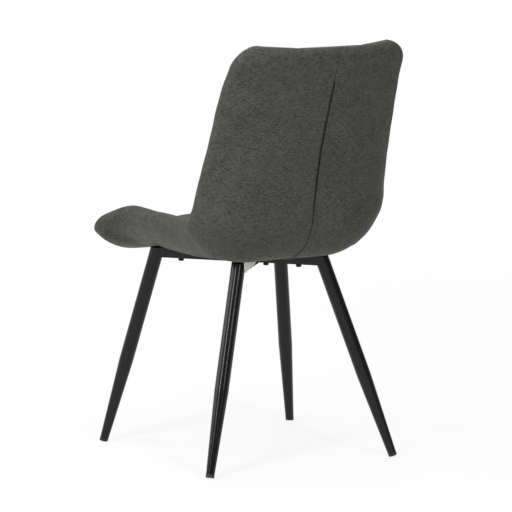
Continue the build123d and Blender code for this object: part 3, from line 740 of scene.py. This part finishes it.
dot_pitch = 0.0016
fibre_size = 0.0012
spunbond = new_finish("black_spunbond_cloth")
coords = add_node(spunbond, "ShaderNodeTexCoord").outputs["Object"]
dots = add_node(spunbond, "ShaderNodeTexVoronoi", {"Scale": 1 / dot_pitch}, {"Vector": coords})
fibres = add_node(spunbond, "ShaderNodeTexNoise", {"Scale": 1 / fibre_size, "Detail": 4.0},
                  {"Vector": coords})
tone = add_node(spunbond, "ShaderNodeValToRGB", None, {"Fac": fibres.outputs["Fac"]})
tone.color_ramp.elements[0].color = linear("#111111")
tone.color_ramp.elements[1].color = linear("#242423")
relief = add_node(spunbond, "ShaderNodeBump", {"Strength": 0.4, "Distance": 0.0003},
                  {"Height": dots.outputs["Distance"]})
skin = add_node(spunbond, "ShaderNodeBsdfPrincipled", {"Roughness": 0.85},
                {"Base Color": tone.outputs["Color"], "Normal": relief.outputs["Normal"]})
add_node(spunbond, "ShaderNodeOutputMaterial", None, {"Surface": skin.outputs["BSDF"]})
dust_piece.data.materials.append(spunbond)


# Frame bolts and washers
# Socket-head bolts with flat and spring washers, put up through the rails into the tee nuts in the plywood.
# Blackened in a hot oxide bath, so they are a dull blue-black metal.
mottle_size = 0.003
black_oxide = new_finish("black_oxide_steel")
coords = add_node(black_oxide, "ShaderNodeTexCoord").outputs["Object"]
mottle = add_node(black_oxide, "ShaderNodeTexNoise", {"Scale": 1 / mottle_size, "Detail": 3.0},
                  {"Vector": coords})
tone = add_node(black_oxide, "ShaderNodeValToRGB", None, {"Fac": mottle.outputs["Fac"]})
tone.color_ramp.elements[0].color = linear("#1a1a1b")
tone.color_ramp.elements[1].color = linear("#2c2c2d")
gloss = add_node(black_oxide, "ShaderNodeMapRange", {"To Min": 0.32, "To Max": 0.5},
                 {"Value": mottle.outputs["Fac"]})
skin = add_node(black_oxide, "ShaderNodeBsdfPrincipled", {"Metallic": 1.0},
                {"Base Color": tone.outputs["Color"], "Roughness": gloss.outputs["Result"]})
add_node(black_oxide, "ShaderNodeOutputMaterial", None, {"Surface": skin.outputs["BSDF"]})
dress(black_oxide, "frame_bolts", "flat_washers", "spring_washers")


# Sewn tag
# A blank scrap of white woven tape caught in the seam under the seat, hanging behind the left rear leg.
# Fine plain weave, slightly creased, cut off at a slant.
tag_low, tag_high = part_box("sewn_tag")
tag_thickness = 0.0005
tag_long_drop, tag_short_drop = tag_high.z - tag_low.z, 0.011
tag_slant_start = 0.3
tag_curl, tag_wave, tag_waves = 0.0035, 0.0008, 1.4
tag_rows, tag_columns = 26, 30


def tag_sheet():
    """Hangs from a straight edge, its drop growing from the inner to the outer side. It curls towards the
    back by the square of the drop, with a slow sine across."""
    u = np.linspace(0, 1, tag_columns)[None, :]
    v = np.linspace(0, 1, tag_rows)[:, None]
    inner = tag_slant_start * (tag_high.x - tag_low.x) * v
    x = tag_low.x + inner + (tag_high.x - tag_low.x - inner) * u
    drop = v * (tag_short_drop + (tag_long_drop - tag_short_drop) * u)
    middle = (tag_low.y + tag_high.y) / 2
    bend = tag_curl * (drop / tag_long_drop) ** 2 + tag_wave * v * np.sin(math.tau * tag_waves * u)
    return np.stack(np.broadcast_arrays(x, middle + bend, tag_high.z - drop), -1)


tag_points = tag_sheet()
tag_piece = lay_grid("sewn_tag_tape", tag_points, True, tag_points[..., [0, 2]])
tag_solid = tag_piece.modifiers.new("cloth", "SOLIDIFY")
tag_solid.thickness = tag_thickness
tag_solid.offset = 0
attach(tag_piece, "root")
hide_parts("sewn_tag")
tape_yarn = 0.0008
tape = new_finish("white_woven_tape")
coords = add_node(tape, "ShaderNodeTexCoord").outputs["Object"]
threads = add_node(tape, "ShaderNodeTexNoise", {"Scale": 1 / tape_yarn, "Detail": 2.0}, {"Vector": coords})
tone = add_node(tape, "ShaderNodeValToRGB", None, {"Fac": threads.outputs["Fac"]})
tone.color_ramp.elements[0].color = linear("#cfcfc4")
tone.color_ramp.elements[1].color = linear("#e9e9e0")
relief = add_node(tape, "ShaderNodeBump", {"Strength": 0.3, "Distance": 0.0002},
                  {"Height": threads.outputs["Fac"]})
skin = add_node(tape, "ShaderNodeBsdfPrincipled", {"Roughness": 0.8},
                {"Base Color": tone.outputs["Color"], "Normal": relief.outputs["Normal"]})
add_node(tape, "ShaderNodeOutputMaterial", None, {"Surface": skin.outputs["BSDF"]})
tag_piece.data.materials.append(tape)


# Floor and studio light
# A broad pale floor with low, far walls, which fills the view behind the chair, and soft boxes round it in an
# even white room. Past the chair's shadow the floor is seen as plain white.
floor_reach, wall_height = 40.0, 4.0
floor_glow = 0.8
white = (1.0, 1.0, 1.0, 1.0)
room_level = 0.20
shadow_reach, white_reach = 0.9, 3.0
floor_finish = new_finish("pale_studio_floor")
path = add_node(floor_finish, "ShaderNodeLightPath")
mirrored = add_node(floor_finish, "ShaderNodeMath", {"operation": "ADD", "use_clamp": True},
                    {0: path.outputs["Is Glossy Ray"], 1: path.outputs["Is Transmission Ray"]})
seen = add_node(floor_finish, "ShaderNodeMath", {"operation": "ADD", "use_clamp": True},
                {0: path.outputs["Is Camera Ray"], 1: mirrored.outputs["Value"]})
coords = add_node(floor_finish, "ShaderNodeTexCoord").outputs["Object"]
away = add_node(floor_finish, "ShaderNodeVectorMath", {"operation": "LENGTH"}, {0: coords})
glow_share = add_node(floor_finish, "ShaderNodeMapRange",
                      {"interpolation_type": "SMOOTHSTEP", "From Min": shadow_reach, "From Max": white_reach,
                       "To Min": floor_glow, "To Max": 1.0}, {"Value": away.outputs["Value"]})
share = add_node(floor_finish, "ShaderNodeMath", {"operation": "MULTIPLY"},
                 {0: seen.outputs["Value"], 1: glow_share.outputs["Result"]})
paint = add_node(floor_finish, "ShaderNodeBsdfDiffuse", {"Color": linear("#f4f4f2")})
glow = add_node(floor_finish, "ShaderNodeEmission", {"Color": white, "Strength": 1.0})
lit = add_node(floor_finish, "ShaderNodeMixShader", None,
               {0: share.outputs["Value"], 1: paint.outputs["BSDF"], 2: glow.outputs["Emission"]})
add_node(floor_finish, "ShaderNodeOutputMaterial", None, {"Surface": lit.outputs["Shader"]})
corner = np.array([[-1, -1, 0], [1, -1, 0], [1, 1, 0], [-1, 1, 0]]) * floor_reach
floor_mesh = bpy.data.meshes.new("studio_floor")
rim = corner + [0, 0, wall_height]
walls = [[0, 4, 5, 1], [1, 5, 6, 2], [2, 6, 7, 3], [3, 7, 4, 0]]
floor_mesh.from_pydata(np.concatenate([corner, rim]), [], [[0, 1, 2, 3]] + walls)
floor_mesh.materials.append(floor_finish)
studio_floor = bpy.data.objects.new("studio_floor", floor_mesh)
bpy.context.scene.collection.objects.link(studio_floor)

room = bpy.data.worlds.new("white_room")
room.use_nodes = True
room_light = room.node_tree.nodes["Background"]
room_light.inputs["Color"].default_value = white
room_light.inputs["Strength"].default_value = room_level
bpy.context.scene.world = room

light_aim = Vector((0.0, 0.0, 0.5))


def outward(azimuth, elevation):
    """Unit direction from the chair: azimuth 0 is in front of it, and turns towards the sitter's left."""
    a, e = math.radians(azimuth), math.radians(elevation)
    return Vector((math.sin(a) * math.cos(e), -math.cos(a) * math.cos(e), math.sin(e)))


def soft_box(name, azimuth, elevation, distance, width, height, power):
    """A rectangular soft box that faces the chair."""
    lamp = bpy.data.lights.new(name, "AREA")
    lamp.shape = "RECTANGLE"
    lamp.size, lamp.size_y = width, height
    lamp.energy = power
    box = bpy.data.objects.new(name, lamp)
    direction = outward(azimuth, elevation)
    box.location = light_aim + direction * distance
    box.rotation_euler = direction.to_track_quat("Z", "Y").to_euler()
    bpy.context.scene.collection.objects.link(box)


soft_box("key_box", 60, 26, 3.2, 2.2, 2.4, 51)
soft_box("left_strip", 112, 33, 3.0, 0.45, 1.8, 37)
soft_box("right_strip", 176, 33, 3.0, 0.34, 1.8, 25)
soft_box("top_box", 150, 82, 3.0, 2.2, 2.2, 37)
soft_box("front_box", 330, 35, 3.4, 2.2, 2.2, 44)


# Camera
# Behind the chair at its left, well above the top of its back, through a long lens and turned slightly.
sensor_width = 0.036
frame_pixels = 512
focal_pixels = 3974.9
camera_at = Vector((4.6477, 6.9354, 1.8585))
camera_target = Vector((0.0, 0.0398, 0.430))
target_pixel_x, target_pixel_y = 258.965, 251.801
camera_roll = math.radians(1.626)
forward = (camera_target - camera_at).normalized()
level_right = forward.cross(Vector((0, 0, 1))).normalized()
level_up = level_right.cross(forward)
right = level_right * math.cos(camera_roll) + level_up * math.sin(camera_roll)
up = level_up * math.cos(camera_roll) - level_right * math.sin(camera_roll)
lens = bpy.data.cameras.new("photo_camera")
lens.sensor_width = sensor_width * 1000
lens.lens = focal_pixels / frame_pixels * sensor_width * 1000
lens.shift_x = (frame_pixels / 2 - target_pixel_x) / frame_pixels
lens.shift_y = (target_pixel_y - frame_pixels / 2) / frame_pixels
lens.clip_end = 100.0
photo_camera = bpy.data.objects.new("photo_camera", lens)
turned = Matrix((right, up, -forward)).transposed().to_4x4()
photo_camera.matrix_world = Matrix.Translation(camera_at) @ turned
bpy.context.scene.collection.objects.link(photo_camera)
bpy.context.scene.camera = photo_camera
bpy.context.scene.view_settings.view_transform = "Standard"
